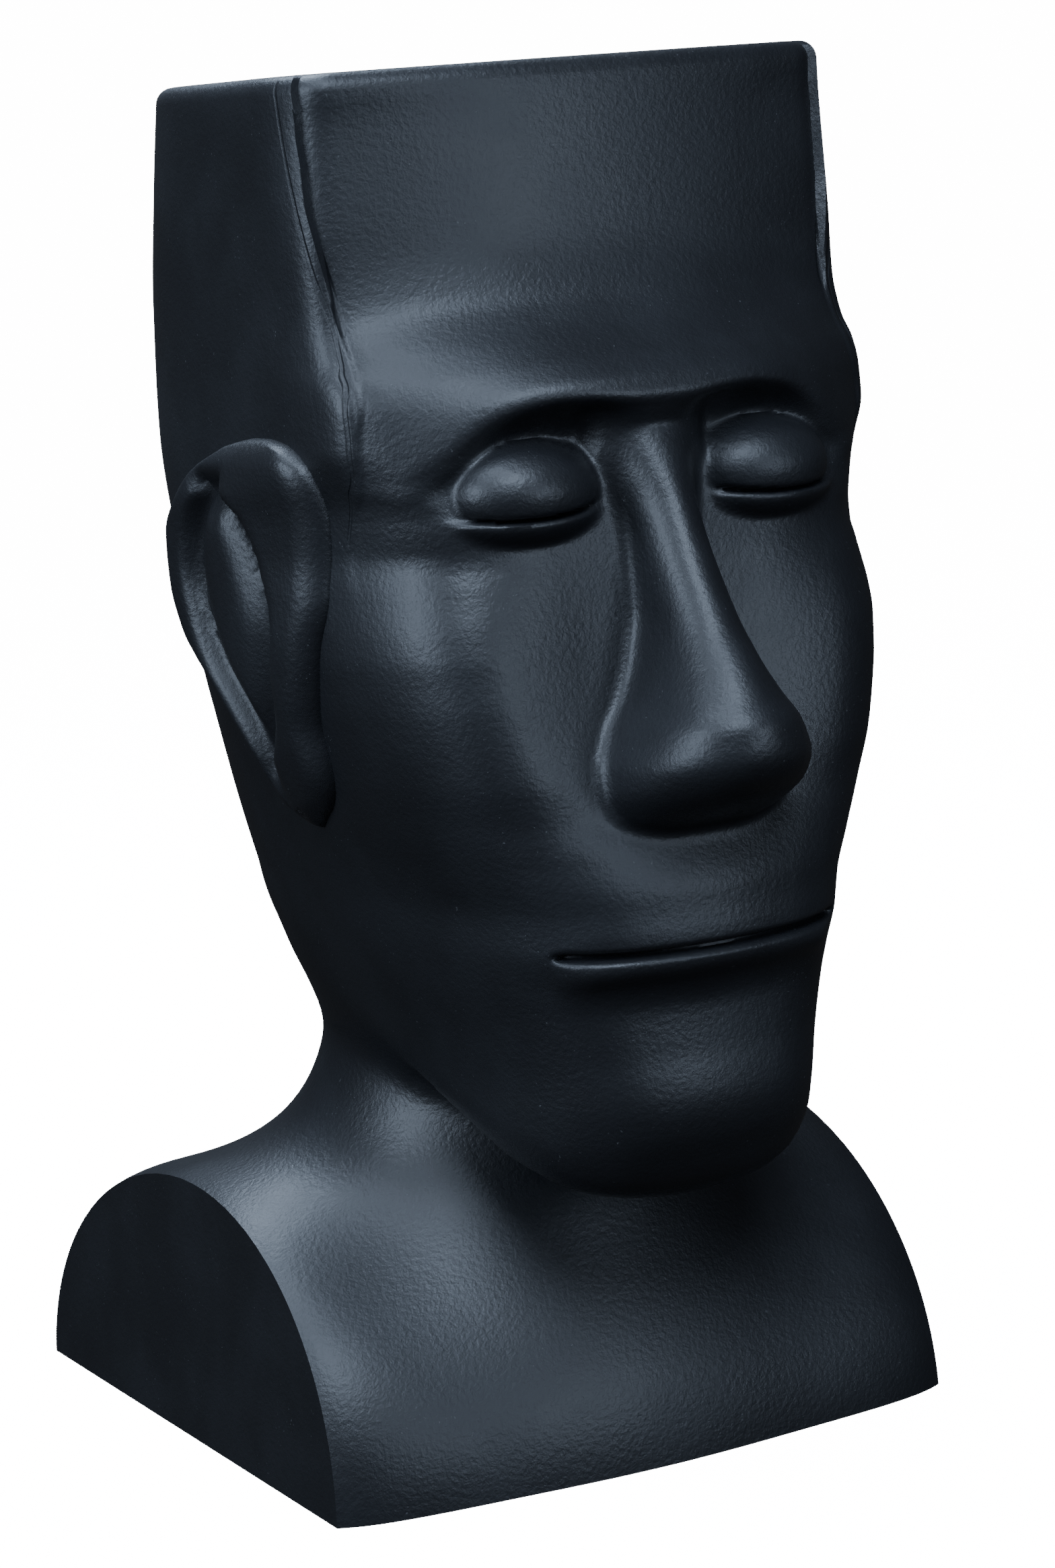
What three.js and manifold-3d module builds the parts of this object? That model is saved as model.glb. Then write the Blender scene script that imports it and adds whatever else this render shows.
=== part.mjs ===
// Stylised long-faced stone head on a low arched shoulder base, cast in one piece and painted matte black.
// Units are millimetres, +Z is up and the face looks toward -Y.
import * as THREE from 'three';
import * as BufferGeometryUtils from 'three/addons/utils/BufferGeometryUtils.js';
import Module from 'manifold-3d';

// Overall sizes
const TOTAL_HEIGHT = 800;
const BASE_HALF_WIDTH = 200;
const RIM_ROUND = 10;

// Shoulder base: an arch that runs from side to side
const ARCH_HEIGHT = 160;
const ARCH_RIDGE_Y = 190;
const ARCH_FRONT_REACH = 195;
const ARCH_BACK_REACH = 240;
const ARCH_FRONT_POWER = 2.12;
const ARCH_BACK_POWER = 1.85;
const END_DRAFT = 0.045;
const FRONT_BOW = 16;
const END_ROUND = 8;
const END_ROUND_POWER = 12;

// Neck
const NECK_CENTRE_Y = 150;
const NECK_HALF_DEPTH = 106;
const NECK_TOP = 330;
const NECK_HALF_WIDTH = [[100, 104], [200, 102], [240, 101], [300, 108], [340, 120]];
const NECK_TO_SHOULDER = 95;
const JAW_TO_NECK = 26;

// Head: each table runs over the height, as pairs of height and size
const HALF_WIDTH = [[200, 106], [240, 110], [265, 116], [300, 128], [337, 139], [420, 160], [500, 172],
  [600, 175], [700, 172], [800, 170]];
const BACK_DEPTH = [[150, 260], [200, 256], [240, 257], [265, 256.4], [300, 265.7], [337, 271.7], [420, 267],
  [500, 269.6], [600, 288.4], [678, 286.6], [736, 274.9], [800, 257.2]];
const BACK_ROUND = 150;
const SIDE_BELLY = 2.2e-4;
const SIDE_BELLY_Y = 110;

// Slanted plane between the face and the side of the head, by its distance from the upright axis
const CORNER_NORMAL = [0.851, -0.525];
const CORNER_DISTANCE = [[150, 122], [196, 122], [236, 124.5], [277, 129.5], [310, 135], [323, 137.2],
  [343, 139.6], [367, 150], [395, 164.2], [420, 174], [444, 178.6], [463, 180.5], [481, 180.5],
  [497, 177.5], [522, 168.5], [545, 160.5], [568, 160.8], [584, 165], [602, 170.1], [619, 169.5],
  [636, 166.2], [646, 161.1], [671, 156.5], [693, 155.8], [718, 155.5], [745, 154.6], [800, 153]];
const FACE_TO_CORNER = [[200, 34], [340, 32], [420, 60], [480, 78], [530, 62], [560, 26], [580, 10],
  [800, 10]];
const CORNER_TO_SIDE = [[200, 60], [400, 60], [500, 60], [560, 50], [600, 28], [800, 24]];

// Face: depth on the mid-line and near the temples
const FACE_MID = [[150, -94], [195, -105], [215, -115], [235, -119], [262, -116], [285, -115], [300, -119],
  [325, -133], [350, -132], [375, -125], [395, -116], [420, -109], [450, -102], [500, -96], [550, -92],
  [582, -90], [597, -93], [610, -107], [619, -112], [628, -109], [638, -98], [648, -84], [659, -70],
  [672, -59], [690, -52], [702, -49], [740, -46], [800, -43]];
const FACE_TEMPLE = [[150, -40], [200, -44], [236, -56], [277, -68], [320, -76], [343, -82], [390, -104],
  [420, -120], [463, -128], [481, -126], [500, -119], [522, -104], [545, -84], [568, -67], [584, -59],
  [602, -58], [619, -56.5], [632, -52], [646, -41], [671, -29.5], [690, -27], [718, -26], [773, -24.8],
  [800, -30]];
const FACE_CURVE = [[200, 2], [300, 2], [340, 2], [380, 2.1], [440, 2.6], [500, 2.8], [560, 2.6], [600, 2.6],
  [640, 2.6], [680, 2.1], [800, 2.1]];
const TEMPLE_X = 150;

// Brow: lower edge by distance from the mid-line
const BROW_EDGE = [[0, 616], [50, 615], [78, 611], [108, 600], [138, 585], [165, 577]];
const BROW_TOP = 656;
const BROW_FADE = 535;

// Raised strip down each temple
const STRIP_HEIGHT = 4.5;
const STRIP_EDGE_X = [[480, 158], [500, 157], [540, 155], [568, 153.5], [584, 154], [602, 155], [619, 153],
  [636, 151], [646, 150], [671, 151.5], [693, 154], [718, 157.3], [745, 159.3], [773, 159.5], [800, 160.5]];
const STRIP_LOW = { from: 490, to: 590, share: 0.35 };
const STRIP_HIGH = { from: 630, to: 710, share: 0.65 };
const STRIP_LIP = [-2, 2.6];
const STRIP_WIDTH = [14, 75];

// Eyes
const SOCKET = { x: 71, y: -110, z: 592, rx: 56, ry: 33, rz: 25, tilt: 0.1 };
const NOSE_PIT = { x: 37, y: -104, z: 598, rx: 13, ry: 20, rz: 13, tilt: 0 };
const UPPER_LID = { x: 72, y: -76, z: 571, rx: 42.5, ry: 32.5, rz: 28, tilt: 0 };
const LOWER_LID = { x: 73, y: -73, z: 561, rx: 46, ry: 32, rz: 21, tilt: 0 };
const LID_LINE = { z: 559.3, rise: 0.0021, x: 80, gap: 1.7 };

// Nose
const NOSE_RIDGE_Y = [[380, -150], [395, -178], [410, -192], [430, -198], [445, -197], [460, -188],
  [477, -176], [496, -160], [518, -145], [540, -132], [560, -122], [577, -114], [590, -108], [602, -103]];
const NOSE_RIDGE_HALF = [[395, 31], [415, 33], [430, 33], [445, 31], [460, 26], [480, 21], [520, 17],
  [560, 16], [577, 19], [590, 23], [602, 27]];
const NOSE_FOOT_HALF = [[385, 46], [395, 53], [410, 56], [421, 55], [439, 47], [457, 35], [479, 26],
  [505, 20], [541, 20], [572, 23], [590, 27], [602, 30]];
const NOSE_FOOT_Y = -95;
const NOSE_BRIDGE_CURVE = 0.25;
const NOSE_FLARE = [[400, 0.4], [430, 0.3], [445, 0.34], [460, 0.5], [480, 0.9], [520, 1.3], [600, 1.4]];
const NOSE_TOP = 625;
const NOSE_UNDER = { z: 383, y: -120, slope: 0.4 };
const NOSE_ROUND = [[400, 38], [430, 36], [460, 29], [520, 20], [600, 18]];

// Mouth
const MOUTH = { z: 320.5, rise: 0.0002, half: 85, depth: 9, width: 2.3 };
const LOWER_LIP = { drop: 11, height: 5, width: 8.5 };
const UPPER_LIP = { rise: 9, height: 1, width: 9 };

// Underside of the jaw
const JAW_FLOOR = { z: 170, spread: 0.0019, round: 28 };
const JAW_RISE = [[-110, 4], [-70, 1], [-30, 9], [0, 21], [60, 42], [120, 60], [300, 80]];

// Ears: centre and half-depth over the height, then the two grooves inside
const EAR_CENTRE_Y = [[386, 45], [393, 44], [407, 45], [418, 45.5], [433, 49], [446, 53.5], [465, 57],
  [484, 62], [496, 64.5], [522, 64.5], [552, 61], [576, 49.5], [590, 41.5], [598, 34], [607, 29]];
const EAR_HALF_DEPTH = [[386, 3], [393, 11], [400, 22], [407, 29], [418, 34.5], [433, 39], [446, 43.5],
  [465, 53], [484, 64], [496, 70.5], [522, 78.5], [552, 79], [576, 69.5], [590, 58.5], [598, 44], [604, 28],
  [607, 8]];
const EAR_PROUD = [[386, 9], [400, 13], [440, 16], [520, 18], [570, 18], [607, 12]];
const EAR_BOTTOM = 386;
const EAR_TOP = 607;
const EAR_LEAN = 0.3;
const EAR_RIM = 16;
const EAR_GROOVE_FRONT = [[426, 62], [449, 47], [482, 38], [508, 33], [538, 40], [563, 52], [576, 68]];
const EAR_GROOVE_BACK = [[426, 63], [438, 67], [460, 79], [480, 92], [504, 101], [528, 105], [548, 101],
  [563, 93], [576, 80]];
const EAR_GROOVE = { depth: 11, outer: 7, inner: 11, top: 578, bottom: 425 };
const EAR_SPINDLE_DROP = 1.5;

// Smooth curve through the pairs of a table, without overshoot
function track(table) {
  const at = table.map((pair) => pair[0]);
  const value = table.map((pair) => pair[1]);
  const last = at.length - 1;
  const rise = [];
  for (let i = 0; i < last; i += 1) rise.push((value[i + 1] - value[i]) / (at[i + 1] - at[i]));
  const slope = at.map((_, i) => {
    if (i === 0) return rise[0];
    if (i === last) return rise[last - 1];
    const product = rise[i - 1] * rise[i];
    return product > 0 ? (2 * product) / (rise[i - 1] + rise[i]) : 0;
  });
  return (where) => {
    const x = Math.min(Math.max(where, at[0]), at[last]);
    let i = 0;
    while (i < last - 1 && x >= at[i + 1]) i += 1;
    const span = at[i + 1] - at[i];
    const s = (x - at[i]) / span;
    const s2 = s * s;
    const s3 = s2 * s;
    return (2 * s3 - 3 * s2 + 1) * value[i] + (s3 - 2 * s2 + s) * span * slope[i]
      + (3 * s2 - 2 * s3) * value[i + 1] + (s3 - s2) * span * slope[i + 1];
  };
}

const neckHalfWidth = track(NECK_HALF_WIDTH);
const halfWidth = track(HALF_WIDTH);
const backDepth = track(BACK_DEPTH);
const cornerDistance = track(CORNER_DISTANCE);
const faceToCorner = track(FACE_TO_CORNER);
const cornerToSide = track(CORNER_TO_SIDE);
const faceMid = track(FACE_MID);
const faceTemple = track(FACE_TEMPLE);
const faceCurve = track(FACE_CURVE);
const browEdge = track(BROW_EDGE);
const stripEdge = track(STRIP_EDGE_X);
const noseRidgeY = track(NOSE_RIDGE_Y);
const noseRidgeHalf = track(NOSE_RIDGE_HALF);
const noseFootHalf = track(NOSE_FOOT_HALF);
const noseFlare = track(NOSE_FLARE);
const noseRound = track(NOSE_ROUND);
const jawRise = track(JAW_RISE);
const earCentreY = track(EAR_CENTRE_Y);
const earHalfDepth = track(EAR_HALF_DEPTH);
const earProud = track(EAR_PROUD);
const grooveFront = track(EAR_GROOVE_FRONT);
const grooveBack = track(EAR_GROOVE_BACK);

// Soft minimum and maximum of two depths: they blend over the width k
function softMin(a, b, k) {
  const h = Math.max(k - Math.abs(a - b), 0) / k;
  return Math.min(a, b) - (h * h * k) / 4;
}

function softMax(a, b, k) {
  return -softMin(-a, -b, k);
}

function ramp(from, to, x) {
  const t = Math.min(Math.max((x - from) / (to - from), 0), 1);
  return t * t * (3 - 2 * t);
}

function bump(x, width) {
  return Math.exp(-((x / width) ** 2));
}

// Depth inside a ball stretched along the three axes
function ballDepth(ball, ax, y, z) {
  const px = (ax - ball.x) / ball.rx;
  const py = (y - ball.y) / ball.ry;
  const pz = (z - ball.z + ball.tilt * (ax - ball.x)) / ball.rz;
  return (1 - Math.sqrt(px * px + py * py + pz * pz)) * ball.rz;
}

// Depth inside the skull and face without their carved features; positive is inside
function skullDepth(x, y, z) {
  const ax = Math.abs(x);
  const edge = browEdge(ax);
  const shift = ramp(BROW_TOP, edge, z) * ramp(BROW_FADE, edge - 14, z);
  const mid = faceMid(z + (BROW_EDGE[0][1] - edge) * shift);
  const share = Math.min(ax / TEMPLE_X, 1.04);
  const face = y - (mid + (faceTemple(z) - mid) * share ** faceCurve(z));
  const low = STRIP_LOW.share * ramp(STRIP_LOW.from, STRIP_LOW.to, z);
  const high = STRIP_HIGH.share * ramp(STRIP_HIGH.from, STRIP_HIGH.to, z);
  const strip = STRIP_HEIGHT * (low + high);
  const corner = cornerDistance(z) - strip - (CORNER_NORMAL[0] * ax + CORNER_NORMAL[1] * y);
  const side = halfWidth(z) - ax - SIDE_BELLY * (y - SIDE_BELLY_Y) ** 2 * ramp(240, 420, z);
  let depth = softMin(face, corner, faceToCorner(z));
  depth = softMin(depth, side, cornerToSide(z));
  depth = softMin(depth, backDepth(z) - y, BACK_ROUND);
  const edgeX = stripEdge(z);
  const edgeY = (CORNER_NORMAL[0] * edgeX - cornerDistance(z) + strip) / -CORNER_NORMAL[1];
  const onStrip = ramp(...STRIP_LIP, ax - edgeX) * (1 - ramp(...STRIP_WIDTH, y - edgeY));
  return depth + strip * onStrip;
}

function noseDepth(x, y, z) {
  const ax = Math.abs(x);
  const ridge = noseRidgeY(z);
  const ridgeHalf = noseRidgeHalf(z);
  const spread = noseFootHalf(z) - ridgeHalf;
  const run = NOSE_FOOT_Y - ridge - 4;
  const u = Math.min(Math.max((y - ridge - 4) / run, -0.5), 1.6);
  const flare = noseFlare(z);
  const half = ridgeHalf + spread * Math.sign(u) * Math.abs(u) ** flare;
  const slope = (spread * flare) / Math.max(Math.abs(run), 8);
  const wall = (half - ax) / Math.sqrt(1 + slope * slope);
  const front = y - ridge - (NOSE_BRIDGE_CURVE * ax * ax) / ridgeHalf;
  const under = (z - NOSE_UNDER.z + (y - NOSE_UNDER.y) * NOSE_UNDER.slope - ax * 0.02) * 0.93;
  const depth = softMin(softMin(wall, front, noseRound(z)), under, 22);
  return Math.min(softMin(depth, NOSE_TOP - z, 20), 10 - y);
}

// Depth inside the arched shoulder base
function baseDepth(x, y, z) {
  const ax = Math.abs(x);
  const endX = BASE_HALF_WIDTH - END_DRAFT * z;
  const u = Math.min(ax / endX, 1);
  const bow = FRONT_BOW * (1 - u * u) * Math.min(Math.max(1 - z / ARCH_HEIGHT, 0), 1) ** 0.7;
  const round = END_ROUND * (1 - u ** END_ROUND_POWER);
  const inFront = y < ARCH_RIDGE_Y;
  const reach = (inFront ? ARCH_FRONT_REACH + bow : ARCH_BACK_REACH) + round;
  const power = inFront ? ARCH_FRONT_POWER : ARCH_BACK_POWER;
  const across = Math.abs(y - ARCH_RIDGE_Y) / reach;
  const up = Math.max(z, 0) / (ARCH_HEIGHT + 0.8 * round);
  const q = (across ** power + up ** power + 1e-12) ** (1 / power);
  const arch = (1 - q) * 150;
  const neckQ = Math.hypot(x / neckHalfWidth(z), (y - NECK_CENTRE_Y) / NECK_HALF_DEPTH);
  const neck = softMin((1 - neckQ) * 100, NECK_TOP - z, 30);
  return Math.min(softMax(arch, neck, NECK_TO_SHOULDER), endX - ax);
}

// Depth inside the whole figure, ears left off
function figureDepth(x, y, z) {
  const ax = Math.abs(x);
  let depth = skullDepth(x, y, z);
  depth = softMin(depth, -ballDepth(SOCKET, ax, y, z), 9);
  depth = softMin(depth, -ballDepth(NOSE_PIT, ax, y, z), 9);
  const lidLine = LID_LINE.z + LID_LINE.rise * (ax - LID_LINE.x) ** 2;
  const upper = softMin(ballDepth(UPPER_LID, ax, y, z), z - lidLine, 3);
  const lower = softMin(ballDepth(LOWER_LID, ax, y, z), lidLine - LID_LINE.gap - z, 4);
  depth = softMax(softMax(depth, upper, 4), lower, 3);
  depth = softMax(depth, noseDepth(x, y, z), 9);
  const mouthZ = MOUTH.z + MOUTH.rise * ax * ax;
  const inFront = ramp(-60, -90, y);
  const lips = (1 - ramp(MOUTH.half - 15, MOUTH.half + 5, ax)) * inFront;
  depth += LOWER_LIP.height * bump(z - mouthZ + LOWER_LIP.drop, LOWER_LIP.width) * lips;
  depth += UPPER_LIP.height * bump(z - mouthZ - UPPER_LIP.rise, UPPER_LIP.width) * lips;
  const slit = (1 - ramp(MOUTH.half - 5, MOUTH.half + 5, ax)) * inFront;
  depth -= MOUTH.depth * bump(z - mouthZ, MOUTH.width) * slit;
  const floor = JAW_FLOOR.z + JAW_FLOOR.spread * ax * ax + jawRise(y);
  depth = softMin(depth, (z - floor) * 0.95, JAW_FLOOR.round);
  depth = softMax(depth, baseDepth(x, y, z), JAW_TO_NECK);
  return Math.min(depth, z + 0.01);
}

// How far an ear stands out from the side of the head
function earRise(y, z) {
  const centre = earCentreY(z);
  const inset = Math.min(earHalfDepth(z) - Math.abs(y - centre), EAR_TOP - z, z - EAR_BOTTOM);
  if (inset <= 0) return 0;
  const lean = 1 + EAR_LEAN * Math.min(Math.max((y - centre) / 75, -1), 1);
  const r = Math.min(inset / EAR_RIM, 1);
  const rim = earProud(z) * lean * Math.sqrt(Math.max(1 - (1 - r) ** 2, 0));
  const front = grooveFront(z);
  const back = grooveBack(z);
  const g = Math.min(
    (back - front) / 2 - Math.abs(y - (front + back) / 2),
    (EAR_GROOVE.top - z) * 0.9,
    (z - EAR_GROOVE.bottom) * 0.5,
  );
  const width = g > 0 ? EAR_GROOVE.inner : EAR_GROOVE.outer;
  const groove = (g > -20 ? EAR_GROOVE.depth * bump(g, width) : 0) + EAR_SPINDLE_DROP * ramp(3, 14, g);
  return Math.max(rim - groove * ramp(2, EAR_RIM, inset), r);
}

// First point where a line from inside leaves the solid
function leave(depthAt, from, towards) {
  const reach = 330;
  const steps = 90;
  const length = Math.hypot(...towards.map((value, axis) => value - from[axis]));
  const way = towards.map((value, axis) => (value - from[axis]) / length);
  const at = (r) => from.map((value, axis) => value + way[axis] * r);
  let low = 0;
  let high = reach;
  for (let s = 1; s <= steps; s += 1) {
    const r = (reach * s) / steps;
    if (depthAt(...at(r)) < 0) {
      high = r;
      low = (reach * (s - 1)) / steps;
      break;
    }
  }
  for (let s = 0; s < 18; s += 1) {
    const middle = (low + high) / 2;
    if (depthAt(...at(middle)) > 0) low = middle;
    else high = middle;
  }
  return at((low + high) / 2);
}

function mix(a, b, t) {
  return a.map((value, i) => value * (1 - t) + b[i] * t);
}

// Columns of the half figure from the mid-line of the face round to the mid-line of the back
const FACE_SHARES = [0, 0.035, 0.07, 0.11, 0.16, 0.21, 0.26, 0.31, 0.36, 0.42, 0.49, 0.56, 0.63, 0.71, 0.8,
  0.89, 0.965];
const SIDE_COLUMNS = 11;
const BACK_COLUMNS = 5;
const columns = FACE_SHARES.map((share) => ({ part: 'face', share }));
for (let i = 0; i < SIDE_COLUMNS; i += 1) columns.push({ part: 'side', share: i / SIDE_COLUMNS });
for (let i = 0; i <= BACK_COLUMNS; i += 1) columns.push({ part: 'back', share: i / BACK_COLUMNS });

// Rows: base, then the turn from shoulder to jaw, then level rows up the head
const BASE_ROWS = 6;
const TURN_ROWS = 9;
const HEAD_ROWS = [250, 264, 278, 291, 302, 309, 315, 319, 322, 327, 335, 348, 362, 374, 384, 394, 404, 415,
  428, 442, 458, 478, 500, 520, 535, 546, 554, 560, 565, 572, 580, 588, 596, 604, 612, 620, 628, 636,
  645, 654, 664, 678, 700, 730, 762, 790];
const ARCH_FRONT_SHARE = 0.215;
const ARCH_BACK_SHARE = 0.8;

// Point on the end-face arch; share runs from the front foot over the ridge to the back foot
function archPoint(share) {
  const c = Math.cos(Math.PI * share);
  const s = Math.abs(Math.sin(Math.PI * share));
  const power = c > 0 ? ARCH_FRONT_POWER : ARCH_BACK_POWER;
  const reach = c > 0 ? ARCH_FRONT_REACH : ARCH_BACK_REACH;
  const r = (Math.abs(c) ** power + s ** power) ** (-1 / power);
  return [ARCH_RIDGE_Y - Math.sign(c) * reach * Math.abs(c) * r, ARCH_HEIGHT * s * r];
}

// A row over the base, from the ground up to where the shoulder turns in
function basePoint(column, v) {
  const [frontY, frontZ] = archPoint(ARCH_FRONT_SHARE * v);
  const [backY, backZ] = archPoint(1 - (1 - ARCH_BACK_SHARE) * v);
  const t = column.share;
  if (column.part === 'side') {
    const [topY, topZ] = archPoint(ARCH_FRONT_SHARE + (ARCH_BACK_SHARE - ARCH_FRONT_SHARE) * t);
    const foot = [mix(archPoint(0), archPoint(1), t)[0], 0];
    const rails = mix([frontY, frontZ], [backY, backZ], t);
    const corners = mix(
      mix(archPoint(0), archPoint(1), t),
      mix(archPoint(ARCH_FRONT_SHARE), archPoint(ARCH_BACK_SHARE), t),
      v,
    );
    const span = mix(foot, [topY, topZ], v);
    const y = span[0] + rails[0] - corners[0];
    const z = span[1] + rails[1] - corners[1];
    return [BASE_HALF_WIDTH - END_DRAFT * z, y, z];
  }
  const z = column.part === 'face' ? frontZ : backZ;
  const endX = BASE_HALF_WIDTH - END_DRAFT * z;
  const x = endX * (column.part === 'face' ? t : 1 - t);
  const inX = Math.min(x, endX - 0.15);
  const level = Math.max(z, 0.2);
  const outY = column.part === 'face' ? frontY - 20 : backY + 20;
  const hit = leave(figureDepth, [inX, ARCH_RIDGE_Y, level], [inX, outY, level]);
  return [x, hit[1], z];
}

// A level row of the head: the aim point on a simple plan, and where its line starts
const aimX = track([[250, 118], [300, 128], [400, 148], [520, 157], [568, 156], [619, 155], [646, 152],
  [693, 156], [745, 161], [800, 163]]);
const faceStartY = track([[240, 10], [300, -15], [360, -45], [600, -45], [660, 10], [800, 20]]);
const sideStartY = track([[0, 30], [0.3, 50], [0.5, 93], [1, 150]]);

// Sideways place of a face column: the columns gather along the walls of the nose
const RIDGE_SHARE = 0.11;
const FOOT_SHARE = 0.36;
function faceX(t, z) {
  const full = aimX(z);
  const ridge = noseRidgeHalf(z);
  const foot = noseFootHalf(z) + 6;
  let gathered = foot + ((full - foot) * (t - FOOT_SHARE)) / (1 - FOOT_SHARE);
  if (t < FOOT_SHARE) gathered = ridge + ((foot - ridge) * (t - RIDGE_SHARE)) / (FOOT_SHARE - RIDGE_SHARE);
  if (t < RIDGE_SHARE) gathered = (ridge * t) / RIDGE_SHARE;
  const weight = ramp(380, 420, z) * (1 - ramp(590, 640, z));
  return full * t * (1 - weight) + gathered * weight;
}

function headLine(column, z) {
  const t = column.share;
  const edgeX = aimX(z);
  const edgeY = (CORNER_NORMAL[0] * edgeX - cornerDistance(z) + 5) / -CORNER_NORMAL[1];
  const half = halfWidth(z);
  const backY = backDepth(z) - 50;
  if (column.part === 'face') {
    const x = faceX(t, z);
    const g = x / edgeX;
    const startY = faceStartY(z) + (30 - faceStartY(z)) * g ** 1.5;
    return [[x * 0.6 * ramp(0.12, 0.4, g), startY, z], [x, -78 * (1 - g * g) + edgeY * g * g, z]];
  }
  if (column.part === 'side') {
    const aim = t < 0.25 ? edgeX + (half - edgeX) * 4 * t : half * (1 - 0.12 * ((t - 0.25) / 0.75) ** 3);
    return [[edgeX * 0.6 * (1 - t), sideStartY(t), z], [aim, edgeY + (backY - edgeY) * t, z]];
  }
  return [[0, 150, z], [half * 0.88 * (1 - t), backY + 50 * Math.sin((t * Math.PI) / 2), z]];
}

// Guide lines over the shoulder turn and under the jaw: start and aim at each station
const STATIONS = [0, 0.17, 0.34, 0.5, 0.62, 0.74, 0.87, 1];
const GUIDES = {
  front: {
    start: [[190, 60], [170, 110], [130, 150], [45, 215], [15, 232], [8, 238], [8, 244]],
    aim: [[0, 38, 110], [0, 36, 135], [0, 34, 158], [0, 5, 171], [0, -45, 174], [0, -76, 186], [0, -92, 215]],
  },
  corner: {
    start: [[190, 60], [170, 95], [150, 130], [125, 190], [95, 225], [75, 236], [60, 242]],
    aim: [[BASE_HALF_WIDTH - 5, 45, 110], [BASE_HALF_WIDTH - 42, 62, 132], [122, 78, 155], [98, 70, 176],
      [92, 30, 196], [95, -8, 208], [98, -40, 226]],
  },
  side: {
    start: [[190, 20], [190, 50], [185, 85], [170, 125], [150, 165], [130, 195], [115, 225]],
    aim: [[BASE_HALF_WIDTH - 6, 190, 160], [BASE_HALF_WIDTH - 40, 185, 162], [130, 181, 168],
      [108, 176, 182], [101, 176, 206], [104, 176, 226], [108, 176, 244]],
  },
  back: {
    start: [[190, 60], [185, 90], [180, 125], [170, 150], [160, 180], [155, 205], [150, 228]],
    aim: [[0, 355, 107], [0, 318, 130], [0, 290, 148], [0, 272, 168], [0, 262, 192], [0, 258, 214],
      [0, 256, 236]],
  },
};
const START_SPREAD = [0.9, 0.5, 0.22, 0.07, 0, 0, 0];

function turnStation(column, station) {
  const side = GUIDES.side.aim[station];
  const back = GUIDES.back.aim[station];
  const rounded = [side[0] * 0.82, back[1] - 28, (side[2] + 2 * back[2]) / 3];
  const t = column.share;
  let aims = [GUIDES.front.aim[station], GUIDES.corner.aim[station]];
  let starts = [GUIDES.front.start[station], GUIDES.corner.start[station]];
  let w = t;
  let bend = t * t;
  if (column.part === 'side') {
    const early = t < 0.5;
    aims = early ? [GUIDES.corner.aim[station], side] : [side, rounded];
    starts = early ? [GUIDES.corner.start[station], GUIDES.side.start[station]]
      : [GUIDES.side.start[station], GUIDES.back.start[station]];
    w = early ? t * 2 : t * 2 - 1;
    bend = w;
  } else if (column.part === 'back') {
    aims = [rounded, back];
    starts = [GUIDES.back.start[station], GUIDES.back.start[station]];
  }
  const aim = mix(aims[0], aims[1], bend);
  aim[0] = aims[0][0] * (1 - w) + aims[1][0] * w;
  const start = mix(starts[0], starts[1], w);
  return [[aim[0] * START_SPREAD[station], ...start], aim];
}

function turnLine(column, v) {
  let s = 0;
  while (s < STATIONS.length - 2 && v >= STATIONS[s + 1]) s += 1;
  const f = (v - STATIONS[s]) / (STATIONS[s + 1] - STATIONS[s]);
  const ends = [s, s + 1].map((station) => {
    if (station === STATIONS.length - 1) return headLine(column, HEAD_ROWS[0]);
    const line = turnStation(column, station);
    return station === 0 ? [line[0], basePoint(column, 1)] : line;
  });
  return [mix(ends[0][0], ends[1][0], f), mix(ends[0][1], ends[1][1], f)];
}

// All points of one column, from the ground to the flat top
function columnPoints(column) {
  const points = [];
  for (let j = 0; j <= BASE_ROWS; j += 1) points.push(basePoint(column, j / BASE_ROWS));
  for (let j = 1; j <= TURN_ROWS; j += 1) {
    points.push(leave(figureDepth, ...turnLine(column, j / (TURN_ROWS + 1))));
  }
  HEAD_ROWS.forEach((z) => points.push(leave(figureDepth, ...headLine(column, z))));
  const shoulder = points[points.length - 1];
  const inward = [-shoulder[0], NECK_CENTRE_Y - 30 - shoulder[1]];
  const length = Math.hypot(...inward);
  [30, 60, 90].forEach((degrees) => {
    const angle = (degrees * Math.PI) / 180;
    const inset = (RIM_ROUND * (1 - Math.cos(angle))) / length;
    points.push([
      shoulder[0] + inward[0] * inset,
      shoulder[1] + inward[1] * inset,
      TOTAL_HEIGHT - RIM_ROUND * (1 - Math.sin(angle)),
    ]);
  });
  return points;
}

// Closed surface over rings of points, with a flat fan at each end
function closedRings(rings, firstCentre, lastCentre) {
  const around = rings.length;
  const tall = rings[0].length;
  const positions = rings.flat(2);
  const first = around * tall;
  const last = first + 1;
  positions.push(...firstCentre, ...lastCentre);
  const faces = [];
  for (let i = 0; i < around; i += 1) {
    const next = (i + 1) % around;
    for (let j = 0; j < tall - 1; j += 1) {
      const a = i * tall + j;
      const b = next * tall + j;
      faces.push(a, b, b + 1, a, b + 1, a + 1);
    }
    faces.push(first, next * tall, i * tall);
    faces.push(last, i * tall + tall - 1, next * tall + tall - 1);
  }
  return { positions, faces };
}

function figureRings() {
  const half = columns.map(columnPoints);
  half[0].forEach((point) => { point[0] = 0; });
  half[half.length - 1].forEach((point) => { point[0] = 0; });
  const mirrored = half.slice(1, -1).reverse().map((ring) => ring.map(([x, y, z]) => [-x, y, z]));
  return [...half, ...mirrored];
}

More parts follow.
